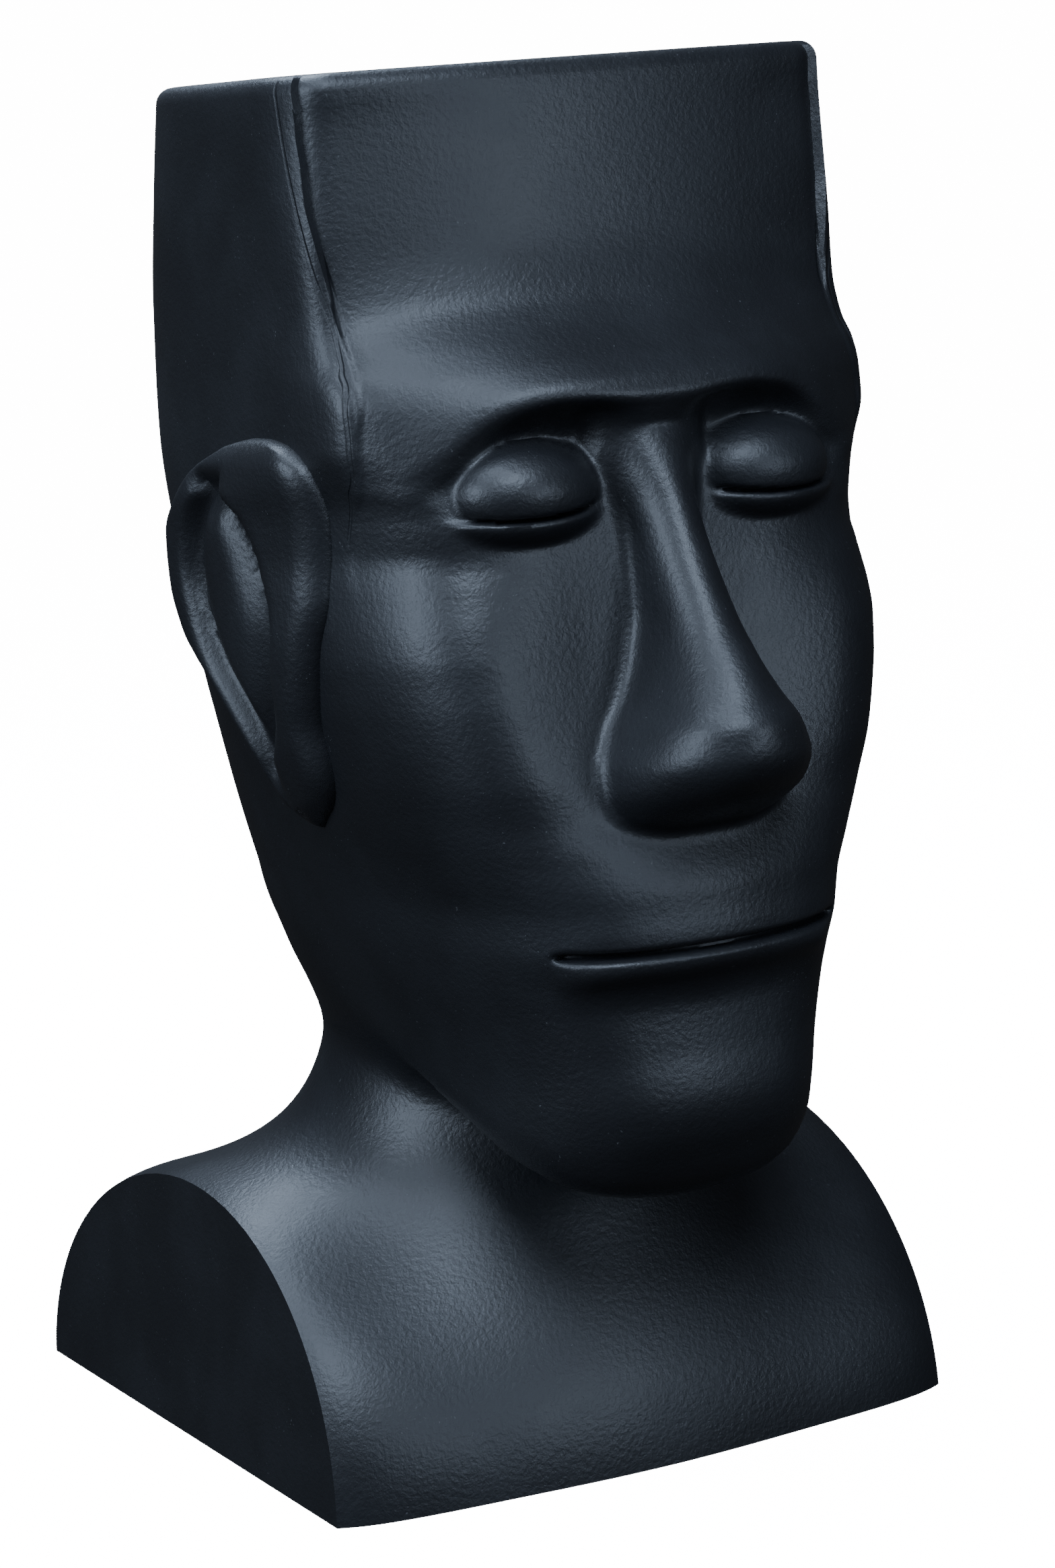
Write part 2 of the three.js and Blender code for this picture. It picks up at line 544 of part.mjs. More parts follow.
// One ear: rings from its middle out to the rim, then down into the side of the head
const EAR_SPOKES = 30;
const EAR_SHARES = [0.2, 0.38, 0.54, 0.68, 0.8, 0.9, 0.97, 1];
const EAR_MIDDLE = { y: 62, z: 508 };
const EAR_ROOT = 14;
const EAR_SEARCH_X = 80;
function earOutline(angle) {
  let low = 0;
  let high = 160;
  for (let s = 0; s < 26; s += 1) {
    const r = (low + high) / 2;
    const y = EAR_MIDDLE.y + r * Math.cos(angle);
    const z = EAR_MIDDLE.z + r * Math.sin(angle);
    const inset = Math.min(earHalfDepth(z) - Math.abs(y - earCentreY(z)), EAR_TOP - z, z - EAR_BOTTOM);
    if (inset > 0.3) low = r;
    else high = r;
  }
  return low;
}

function earRings() {
  const wall = (y, z) => leave(figureDepth, [EAR_SEARCH_X, y, z], [2 * EAR_SEARCH_X, y, z])[0];
  const rings = [];
  for (let i = 0; i < EAR_SPOKES; i += 1) {
    const angle = (-2 * Math.PI * i) / EAR_SPOKES;
    const reach = earOutline(angle);
    const ring = EAR_SHARES.map((share) => {
      const y = EAR_MIDDLE.y + reach * share * Math.cos(angle);
      const z = EAR_MIDDLE.z + reach * share * Math.sin(angle);
      return [wall(y, z) + earRise(y, z), y, z];
    });
    const [rimX, rimY, rimZ] = ring[ring.length - 1];
    ring.push([rimX - EAR_ROOT, rimY, rimZ]);
    rings.push(ring);
  }
  const { y, z } = EAR_MIDDLE;
  return { rings, outer: [wall(y, z) + earRise(y, z), y, z], inner: [wall(y, z) - EAR_ROOT, y, z] };
}

const wasm = await Module();
wasm.setup();

function toSolid({ positions, faces }) {
  const loose = new THREE.BufferGeometry();
  loose.setAttribute('position', new THREE.Float32BufferAttribute(positions, 3));
  loose.setIndex(faces);
  const merged = BufferGeometryUtils.mergeVertices(loose, 1e-4);
  const index = Array.from(merged.index.array);
  const kept = [];
  for (let i = 0; i < index.length; i += 3) {
    const [a, b, c] = index.slice(i, i + 3);
    if (a !== b && b !== c && c !== a) kept.push(a, b, c);
  }
  return new wasm.Manifold(new wasm.Mesh({
    numProp: 3,
    vertProperties: new Float32Array(merged.attributes.position.array),
    triVerts: new Uint32Array(kept),
  }));
}

function mirrored({ positions, faces }) {
  const across = positions.map((value, i) => (i % 3 === 0 ? -value : value));
  const turned = [];
  for (let i = 0; i < faces.length; i += 3) turned.push(faces[i], faces[i + 2], faces[i + 1]);
  return { positions: across, faces: turned };
}

const figure = closedRings(figureRings(), [0, ARCH_RIDGE_Y, 0], [0, NECK_CENTRE_Y - 30, TOTAL_HEIGHT]);
const ear = earRings();
const rightEar = closedRings(ear.rings, ear.outer, ear.inner);
const joined = toSolid(figure).add(toSolid(rightEar)).add(toSolid(mirrored(rightEar)));

const solid = joined.getMesh();
const geometry = new THREE.BufferGeometry();
geometry.setAttribute('position', new THREE.BufferAttribute(new Float32Array(solid.vertProperties), 3));
geometry.setIndex(Array.from(solid.triVerts));
geometry.computeBoundingBox();
const box = geometry.boundingBox;
geometry.translate(0, -(box.min.y + box.max.y) / 2, 0);
geometry.computeVertexNormals();

const paint = new THREE.MeshStandardMaterial({ color: 0x17191c, roughness: 0.5, metalness: 0 });
const statue = new THREE.Mesh(geometry, paint);
statue.name = 'moai_bust';

const group = new THREE.Group();
group.add(statue);
export default group;
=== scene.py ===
import json
import math

import bpy
import numpy as np
from mathutils import Matrix, Vector


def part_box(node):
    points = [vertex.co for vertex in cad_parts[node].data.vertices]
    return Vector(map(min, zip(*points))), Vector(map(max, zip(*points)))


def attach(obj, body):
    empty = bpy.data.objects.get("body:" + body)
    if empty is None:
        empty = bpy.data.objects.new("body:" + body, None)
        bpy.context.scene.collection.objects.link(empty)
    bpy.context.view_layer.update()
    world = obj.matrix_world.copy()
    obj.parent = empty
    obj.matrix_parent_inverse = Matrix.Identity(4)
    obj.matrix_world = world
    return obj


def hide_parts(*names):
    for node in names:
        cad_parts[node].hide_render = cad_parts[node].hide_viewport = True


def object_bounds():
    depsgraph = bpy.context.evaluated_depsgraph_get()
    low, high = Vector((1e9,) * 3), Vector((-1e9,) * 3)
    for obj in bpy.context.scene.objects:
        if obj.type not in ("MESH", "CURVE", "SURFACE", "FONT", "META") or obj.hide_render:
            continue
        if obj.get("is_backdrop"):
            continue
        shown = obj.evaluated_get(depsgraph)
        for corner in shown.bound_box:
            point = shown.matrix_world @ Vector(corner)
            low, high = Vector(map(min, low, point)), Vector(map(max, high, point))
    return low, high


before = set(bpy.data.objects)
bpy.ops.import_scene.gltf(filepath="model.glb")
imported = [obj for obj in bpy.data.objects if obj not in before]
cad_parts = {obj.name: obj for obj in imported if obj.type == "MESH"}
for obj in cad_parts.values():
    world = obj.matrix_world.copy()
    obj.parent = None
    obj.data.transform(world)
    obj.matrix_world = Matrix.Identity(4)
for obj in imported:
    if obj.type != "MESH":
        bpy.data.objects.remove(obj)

START_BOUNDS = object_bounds()

bl_info = {
    "name": "Long-faced stone head",
    "blender": (4, 5, 0),
    "version": (1, 0, 0),
    "location": "3D View > Sidebar > Stone head",
    "description": "Builds a matte black statue of a long-faced head on an arched shoulder base",
    "category": "Add Mesh",
}

NODE = "moai_bust"
MM = 0.001
WELD_DISTANCE = 2e-5
SMOOTH_UP_TO = 50
MOST_TRIANGLES = 200000

# Shape of the figure in millimetres. A table is pairs of height and size, except that brow_edge runs
# outward from the middle, jaw_rise runs back along Y and side_start runs over shares of the side.
ARCH_RIDGE_Y = 190.0
ARCH_BACK_REACH = 240.0
ARCH_FRONT_POWER = 2.12
ARCH_BACK_POWER = 1.85
END_ROUND = 8.0
CORNER_NORMAL = (0.851, -0.525)
FOOT_Y = -95.0
TABLES = {
    "neck_half_width": ((100, 104), (200, 102), (240, 101), (300, 108), (340, 120)),
    "half_width": ((200, 106), (240, 110), (265, 116), (300, 128), (337, 139), (420, 160), (500, 172),
                   (600, 175), (700, 172), (800, 170)),
    "back_depth": ((150, 260), (200, 256), (240, 257), (265, 256.4), (300, 265.7), (337, 271.7), (420, 267),
                   (500, 269.6), (600, 288.4), (678, 286.6), (736, 274.9), (800, 257.2)),
    "corner": ((150, 122), (196, 122), (236, 124.5), (277, 129.5), (310, 135), (323, 137.2), (343, 139.6),
               (367, 150), (395, 164.2), (420, 174), (444, 178.6), (463, 180.5), (481, 180.5), (497, 177.5),
               (522, 168.5), (545, 160.5), (568, 160.8), (584, 165), (602, 170.1), (619, 169.5), (636, 166.2),
               (646, 161.1), (671, 156.5), (693, 155.8), (718, 155.5), (745, 154.6), (800, 153)),
    "face_to_corner": ((200, 34), (340, 32), (420, 60), (480, 78), (530, 62), (560, 26), (580, 10),
                       (800, 10)),
    "corner_to_side": ((200, 60), (400, 60), (500, 60), (560, 50), (600, 28), (800, 24)),
    "face_mid": ((150, -94), (195, -105), (215, -115), (235, -119), (262, -116), (285, -115), (300, -119),
                 (325, -133), (350, -132), (375, -125), (395, -116), (420, -109), (450, -102), (500, -96),
                 (550, -92), (582, -90), (597, -93), (610, -107), (619, -112), (628, -109), (638, -98),
                 (648, -84), (659, -70), (672, -59), (690, -52), (702, -49), (740, -46), (800, -43)),
    "face_temple": ((150, -40), (200, -44), (236, -56), (277, -68), (320, -76), (343, -82), (390, -104),
                    (420, -120), (463, -128), (481, -126), (500, -119), (522, -104), (545, -84), (568, -67),
                    (584, -59), (602, -58), (619, -56.5), (632, -52), (646, -41), (671, -29.5), (690, -27),
                    (718, -26), (773, -24.8), (800, -30)),
    "face_curve": ((200, 2), (300, 2), (340, 2), (380, 2.1), (440, 2.6), (500, 2.8), (560, 2.6), (600, 2.6),
                   (640, 2.6), (680, 2.1), (800, 2.1)),
    "brow_edge": ((0, 616), (50, 615), (78, 611), (108, 600), (138, 585), (165, 577)),
    "strip_edge": ((480, 158), (500, 157), (540, 155), (568, 153.5), (584, 154), (602, 155), (619, 153),
                   (636, 151), (646, 150), (671, 151.5), (693, 154), (718, 157.3), (745, 159.3),
                   (773, 159.5), (800, 160.5)),
    "ridge_y": ((380, -150), (395, -178), (410, -192), (430, -198), (445, -197), (460, -188), (477, -176),
                (496, -160), (518, -145), (540, -132), (560, -122), (577, -114), (590, -108), (602, -103)),
    "ridge_half": ((395, 31), (415, 33), (430, 33), (445, 31), (460, 26), (480, 21), (520, 17), (560, 16),
                   (577, 19), (590, 23), (602, 27)),
    "foot_half": ((385, 46), (395, 53), (410, 56), (421, 55), (439, 47), (457, 35), (479, 26), (505, 20),
                  (541, 20), (572, 23), (590, 27), (602, 30)),
    "nose_flare": ((400, 0.4), (430, 0.3), (445, 0.34), (460, 0.5), (480, 0.9), (520, 1.3), (600, 1.4)),
    "nose_round": ((400, 38), (430, 36), (460, 29), (520, 20), (600, 18)),
    "jaw_rise": ((-110, 4), (-70, 1), (-30, 9), (0, 21), (60, 42), (120, 60), (300, 80)),
    "ear_centre": ((386, 45), (393, 44), (407, 45), (418, 45.5), (433, 49), (446, 53.5), (465, 57),
                   (484, 62), (496, 64.5), (522, 64.5), (552, 61), (576, 49.5), (590, 41.5), (598, 34),
                   (607, 29)),
    "ear_half": ((386, 3), (393, 11), (400, 22), (407, 29), (418, 34.5), (433, 39), (446, 43.5), (465, 53),
                 (484, 64), (496, 70.5), (522, 78.5), (552, 79), (576, 69.5), (590, 58.5), (598, 44),
                 (604, 28), (607, 8)),
    "ear_proud": ((386, 9), (400, 13), (440, 16), (520, 18), (570, 18), (607, 12)),
    "groove_front": ((426, 62), (449, 47), (482, 38), (508, 33), (538, 40), (563, 52), (576, 68)),
    "groove_back": ((426, 63), (438, 67), (460, 79), (480, 92), (504, 101), (528, 105), (548, 101),
                    (563, 93), (576, 80)),
    "aim_x": ((250, 118), (300, 128), (400, 148), (520, 157), (568, 156), (619, 155), (646, 152), (693, 156),
              (745, 161), (800, 163)),
    "face_start": ((240, 10), (300, -15), (360, -45), (600, -45), (660, 10), (800, 20)),
    "side_start": ((0, 30), (0.3, 50), (0.5, 93), (1, 150)),
}
# Carving in millimetres. A pair is where a form starts and where it is full, or in a fade is gone. A ball
# is its centre on the +X side, its half sizes and how far it leans. A blend is how wide two forms run
# into each other.
FACE_SHARE_X = 150
FACE_SHARE_MOST = 1.04
BROW_LIFT_TOP = 656
BROW_LIFT_FOOT = 535
BROW_LIFT_LAP = 14
STRIP_FOOT = (490, 590)
STRIP_FOOT_SHARE = 0.35
STRIP_CROWN = (630, 710)
STRIP_CROWN_SHARE = 0.65
STRIP_LIP = (-2.0, 2.6)
STRIP_FADE = (14, 75)
SIDE_CURVE = 2.2e-4
SIDE_CURVE_RISE = (240, 420)
SIDE_WIDEST_Y = 110
BACK_BLEND = 150.0
NOSE_FOOT_Z = 383
NOSE_TOP_Z = 625
NOSE_UNDER_Y = -120
NOSE_UNDER_SLOPE = 0.4
NOSE_BRIDGE_CURVE = 0.25
NOSE_UNDER_BLEND = 22.0
NOSE_TOP_BLEND = 20.0
NOSE_BLEND = 9.0
SOCKET_BLEND = 9.0
SOCKET = ((71, -110, 592), (56, 33, 25), 0.1)
NOSE_PIT = ((37, -104, 598), (13, 20, 13), 0.0)
UPPER_LID = ((72, -76, 571), (42.5, 32.5, 28), 0.0)
LOWER_LID = ((73, -73, 561), (46, 32, 21), 0.0)
LID_LINE_Z = 559.3
LID_LINE_X = 80
LID_LINE_CURVE = 0.0021
LID_GAP = 1.7
UPPER_LID_BLEND = 4.0
LOWER_LID_BLEND = 3.0
MOUTH_Z = 320.5
MOUTH_CURVE = 0.0002
MOUTH_LINE_WIDTH = 2.3
LOWER_LIP_DROP = 11
LOWER_LIP_WIDTH = 8.5
UPPER_LIP_RISE = 9
UPPER_LIP_WIDTH = 9.0
LIP_FADE = (70, 90)
MOUTH_FADE = (80, 90)
FRONT_SIDE = (-60, -90)
JAW_Z = 170
JAW_CURVE = 0.0019
JAW_BLEND = 28.0
NECK_Y = 150
NECK_HALF_DEPTH = 106
NECK_TOP = 330
NECK_TOP_BLEND = 30.0
NECK_BLEND = 26.0
SHOULDER_BLEND = 95.0

# Ears in millimetres. The middle is a place from front to back and a height.
EAR_BOTTOM = 386.0
EAR_TOP = 607.0
EAR_MIDDLE = (62.0, 508.0)
EAR_ROOT = 14.0
EAR_ROLL = 16
EAR_LEAN = 0.3
EAR_LEAN_REACH = 75
GROOVE_TOP = 578
GROOVE_FOOT = 425
GROOVE_DEPTH = 11
GROOVE_INNER_WIDTH = 11
GROOVE_OUTER_WIDTH = 7
GROOVE_BED = 1.5


def track(name, where):
    """Smooth value of a table at the given heights, without overshoot."""
    table = np.array(TABLES[name], float)
    at, value = table[:, 0], table[:, 1]
    rise = np.diff(value) / np.diff(at)
    slope = np.concatenate([rise[:1], np.zeros(len(rise) - 1), rise[-1:]])
    product = rise[:-1] * rise[1:]
    total = np.where(product > 0, rise[:-1] + rise[1:], 1.0)
    slope[1:-1] = np.where(product > 0, 2 * product / total, 0.0)
    x = np.clip(where, at[0], at[-1])
    i = np.clip(np.searchsorted(at, x, side="right") - 1, 0, len(at) - 2)
    span = at[i + 1] - at[i]
    s = (x - at[i]) / span
    s2, s3 = s * s, s * s * s
    return ((2 * s3 - 3 * s2 + 1) * value[i] + (s3 - 2 * s2 + s) * span * slope[i]
            + (3 * s2 - 2 * s3) * value[i + 1] + (s3 - s2) * span * slope[i + 1])


def soft_min(a, b, k):
    h = np.maximum(k - np.abs(a - b), 0) / k
    return np.minimum(a, b) - h * h * k / 4


def soft_max(a, b, k):
    return -soft_min(-a, -b, k)


def ramp(start, end, x):
    t = np.clip((x - start) / (end - start), 0, 1)
    return t * t * (3 - 2 * t)


def bump(x, width):
    return np.exp(-((x / width) ** 2))


def ball_depth(centre, radii, tilt, ax, y, z):
    px = (ax - centre[0]) / radii[0]
    py = (y - centre[1]) / radii[1]
    pz = (z - centre[2] + tilt * (ax - centre[0])) / radii[2]
    return (1 - np.sqrt(px * px + py * py + pz * pz)) * radii[2]


class Figure:
    """Depth below the surface of the figure, in millimetres, positive inside. The ears are left off."""

    def __init__(self, sizes):
        self.width = sizes.width / MM / 2
        self.draft = sizes.end_draft
        self.arch = sizes.base_height / MM
        self.reach = sizes.base_front / MM
        self.bow = sizes.front_bow / MM
        self.strip = sizes.strip_height / MM
        self.mouth = sizes.mouth_depth / MM
        self.lip = sizes.lip_height / MM

    def skull(self, x, y, z):
        ax = np.abs(x)
        edge = track("brow_edge", ax)
        shift = ramp(BROW_LIFT_TOP, edge, z) * ramp(BROW_LIFT_FOOT, edge - BROW_LIFT_LAP, z)
        mid = track("face_mid", z + (TABLES["brow_edge"][0][1] - edge) * shift)
        temple = track("face_temple", z)
        share = np.clip(ax / FACE_SHARE_X, 0, FACE_SHARE_MOST)
        face = y - (mid + (temple - mid) * share ** track("face_curve", z))
        rise = STRIP_FOOT_SHARE * ramp(*STRIP_FOOT, z) + STRIP_CROWN_SHARE * ramp(*STRIP_CROWN, z)
        strip = self.strip * rise
        corner = track("corner", z) - strip - (CORNER_NORMAL[0] * ax + CORNER_NORMAL[1] * y)
        curve = SIDE_CURVE * (y - SIDE_WIDEST_Y) ** 2 * ramp(*SIDE_CURVE_RISE, z)
        side = track("half_width", z) - ax - curve
        depth = soft_min(face, corner, track("face_to_corner", z))
        depth = soft_min(depth, side, track("corner_to_side", z))
        depth = soft_min(depth, track("back_depth", z) - y, BACK_BLEND)
        edge_x = track("strip_edge", z)
        edge_y = (CORNER_NORMAL[0] * edge_x - track("corner", z) + strip) / -CORNER_NORMAL[1]
        on_strip = ramp(*STRIP_LIP, ax - edge_x) * (1 - ramp(*STRIP_FADE, y - edge_y))
        return depth + strip * on_strip

    def nose(self, x, y, z):
        ax = np.abs(x)
        ridge = track("ridge_y", z)
        ridge_half = track("ridge_half", z)
        spread = track("foot_half", z) - ridge_half
        run = FOOT_Y - ridge - 4
        u = np.clip((y - ridge - 4) / run, -0.5, 1.6)
        flare = track("nose_flare", z)
        half = ridge_half + spread * np.sign(u) * np.abs(u) ** flare
        slope = spread * flare / np.maximum(np.abs(run), 8)
        wall = (half - ax) / np.sqrt(1 + slope * slope)
        front = y - ridge - NOSE_BRIDGE_CURVE * ax * ax / ridge_half
        under = (z - NOSE_FOOT_Z + (y - NOSE_UNDER_Y) * NOSE_UNDER_SLOPE - ax * 0.02) * 0.93
        depth = soft_min(soft_min(wall, front, track("nose_round", z)), under, NOSE_UNDER_BLEND)
        return np.minimum(soft_min(depth, NOSE_TOP_Z - z, NOSE_TOP_BLEND), 10 - y)

    def base(self, x, y, z):
        ax = np.abs(x)
        end = self.width - self.draft * z
        u = np.minimum(ax / end, 1)
        bow = self.bow * (1 - u * u) * np.clip(1 - z / self.arch, 0, 1) ** 0.7
        round_off = END_ROUND * (1 - u**12)
        front = y < ARCH_RIDGE_Y
        reach = np.where(front, self.reach + bow, ARCH_BACK_REACH) + round_off
        power = np.where(front, ARCH_FRONT_POWER, ARCH_BACK_POWER)
        across = np.abs(y - ARCH_RIDGE_Y) / reach
        up = np.maximum(z, 0) / (self.arch + 0.8 * round_off)
        arch = (1 - (across**power + up**power + 1e-12) ** (1 / power)) * 150
        neck = (1 - np.hypot(x / track("neck_half_width", z), (y - NECK_Y) / NECK_HALF_DEPTH)) * 100
        neck = soft_min(neck, NECK_TOP - z, NECK_TOP_BLEND)
        return np.minimum(soft_max(arch, neck, SHOULDER_BLEND), end - ax)

    def depth(self, x, y, z):
        ax = np.abs(x)
        depth = self.skull(x, y, z)
        depth = soft_min(depth, -ball_depth(*SOCKET, ax, y, z), SOCKET_BLEND)
        depth = soft_min(depth, -ball_depth(*NOSE_PIT, ax, y, z), SOCKET_BLEND)
        line = LID_LINE_Z + LID_LINE_CURVE * (ax - LID_LINE_X) ** 2
        upper = soft_min(ball_depth(*UPPER_LID, ax, y, z), z - line, 3.0)
        lower = soft_min(ball_depth(*LOWER_LID, ax, y, z), line - LID_GAP - z, 4.0)
        depth = soft_max(soft_max(depth, upper, UPPER_LID_BLEND), lower, LOWER_LID_BLEND)
        depth = soft_max(depth, self.nose(x, y, z), NOSE_BLEND)
        mouth = MOUTH_Z + MOUTH_CURVE * ax * ax
        in_front = ramp(*FRONT_SIDE, y)
        lips = (1 - ramp(*LIP_FADE, ax)) * in_front
        depth = depth + self.lip * bump(z - mouth + LOWER_LIP_DROP, LOWER_LIP_WIDTH) * lips
        depth = depth + bump(z - mouth - UPPER_LIP_RISE, UPPER_LIP_WIDTH) * lips
        parting = self.mouth * bump(z - mouth, MOUTH_LINE_WIDTH) * (1 - ramp(*MOUTH_FADE, ax)) * in_front
        depth = depth - parting
        floor = JAW_Z + JAW_CURVE * ax * ax + track("jaw_rise", y)
        depth = soft_min(depth, (z - floor) * 0.95, JAW_BLEND)
        depth = soft_max(depth, self.base(x, y, z), NECK_BLEND)
        return np.minimum(depth, z + 0.01)


def ear_inset(y, z):
    across = track("ear_half", z) - np.abs(y - track("ear_centre", z))
    return np.minimum(across, np.minimum(EAR_TOP - z, z - EAR_BOTTOM))


def ear_rise(y, z):
    """How far an ear stands out from the side of the head."""
    inset = ear_inset(y, z)
    lean = 1 + EAR_LEAN * np.clip((y - track("ear_centre", z)) / EAR_LEAN_REACH, -1, 1)
    r = np.clip(inset / EAR_ROLL, 0, 1)
    rim = track("ear_proud", z) * lean * np.sqrt(np.clip(1 - (1 - r) ** 2, 0, 1))
    front, back = track("groove_front", z), track("groove_back", z)
    g = (back - front) / 2 - np.abs(y - (front + back) / 2)
    g = np.minimum(g, np.minimum((GROOVE_TOP - z) * 0.9, (z - GROOVE_FOOT) * 0.5))
    width = np.where(g > 0, GROOVE_INNER_WIDTH, GROOVE_OUTER_WIDTH)
    groove = GROOVE_DEPTH * bump(g, width) * (g > -20)
    groove = groove + GROOVE_BED * ramp(3, 14, g)
    return np.where(inset > 0, np.maximum(rim - groove * ramp(2, EAR_ROLL, inset), r), 0)


def leave(depth_at, start, aim):
    """Points where lines from inside leave the solid."""
    reach, steps = 330.0, 110
    way = aim - start
    way = way / np.maximum(np.linalg.norm(way, axis=-1, keepdims=True), 1e-9)
    low = np.zeros(start.shape[:-1])
    high = np.full(start.shape[:-1], reach)
    found = np.zeros(start.shape[:-1], bool)
    for step in range(1, steps + 1):
        r = reach * step / steps
        p = start + way * r
        hit = ~found & (depth_at(p[..., 0], p[..., 1], p[..., 2]) < 0)
        high = np.where(hit, r, high)
        low = np.where(hit, reach * (step - 1) / steps, low)
        found |= hit
    if not found.all():
        raise RuntimeError("a line from inside never leaves the figure")
    for _ in range(18):
        middle = (low + high) / 2
        p = start + way * middle[..., None]
        inside = depth_at(p[..., 0], p[..., 1], p[..., 2]) > 0
        low = np.where(inside, middle, low)
        high = np.where(inside, high, middle)
    return start + way * ((low + high) / 2)[..., None]


def spaced(*stretches):
    """Values along stretches of (start, end, step), each end joined to the next start."""
    values = []
    for start, end, step in stretches:
        count = max(1, round((end - start) / step))
        values += [start + (end - start) * i / count for i in range(count)]
    return values + [stretches[-1][1]]


# Columns of the net as shares of the way across the face, the side and the back, and its rows. The columns
# up to the ridge share lie on the nose's ridge, and those up to the foot share on its walls.
RIDGE_SHARE = 0.12
FOOT_SHARE = 0.36
GATHER_START = (380, 420)
GATHER_END = (590, 640)
FACE_SHARES = spaced((0, RIDGE_SHARE, 0.0125), (RIDGE_SHARE, FOOT_SHARE, 0.009),
                     (FOOT_SHARE, 0.92, 0.0105), (0.92, 1, 0.01))[:-1]
SIDE_SHARES = spaced((0, 0.07, 0.0045), (0.07, 0.16, 0.01), (0.16, 1, 0.045))[:-1]
BACK_SHARES = spaced((0, 1, 0.0625))
BASE_ROWS = 24
TURN_ROWS = 36
HEAD_ROWS = spaced((250, 300, 3.6), (300, 308, 2), (308, 334, 1.3), (334, 380, 3), (380, 420, 1.8),
                   (420, 540, 2.8), (540, 556, 2), (556, 572, 1.2), (572, 640, 2), (640, 680, 3),
                   (680, 790, 8))
ARCH_FRONT_SHARE = 0.215
ARCH_BACK_SHARE = 0.8
TOP_CENTRE_Y = 120
RIM_ANGLES = (15, 30, 45, 60, 75, 90)

# Rows between the base and the head follow guides. At each station of the way up they say where the lines
# start inside the figure, as Y and Z, and where they aim, as X, Y and Z.
STATIONS = (0, 0.17, 0.34, 0.5, 0.62, 0.74, 0.87, 1)
START_SPREAD = (0.9, 0.5, 0.22, 0.07, 0, 0, 0)
GUIDES = {
    "front_start": ((190, 60), (170, 110), (130, 150), (45, 215), (15, 232), (8, 238), (8, 244)),
    "front": ((0, 38, 110), (0, 36, 135), (0, 34, 158), (0, 5, 171), (0, -45, 174), (0, -76, 186),
              (0, -92, 215)),
    "corner_start": ((190, 60), (170, 95), (150, 130), (125, 190), (95, 225), (75, 236), (60, 242)),
    "corner": ((195, 45, 110), (158, 62, 132), (122, 78, 155), (98, 70, 176), (92, 30, 196), (95, -8, 208),
               (98, -40, 226)),
    "side_start": ((190, 20), (190, 50), (185, 85), (170, 125), (150, 165), (130, 195), (115, 225)),
    "side": ((194, 190, 160), (160, 185, 162), (130, 181, 168), (108, 176, 182), (101, 176, 206),
             (104, 176, 226), (108, 176, 244)),
    "back_start": ((190, 60), (185, 90), (180, 125), (170, 150), (160, 180), (155, 205), (150, 228)),
    "back": ((0, 355, 107), (0, 318, 130), (0, 290, 148), (0, 272, 168), (0, 262, 192), (0, 258, 214),
             (0, 256, 236)),
}


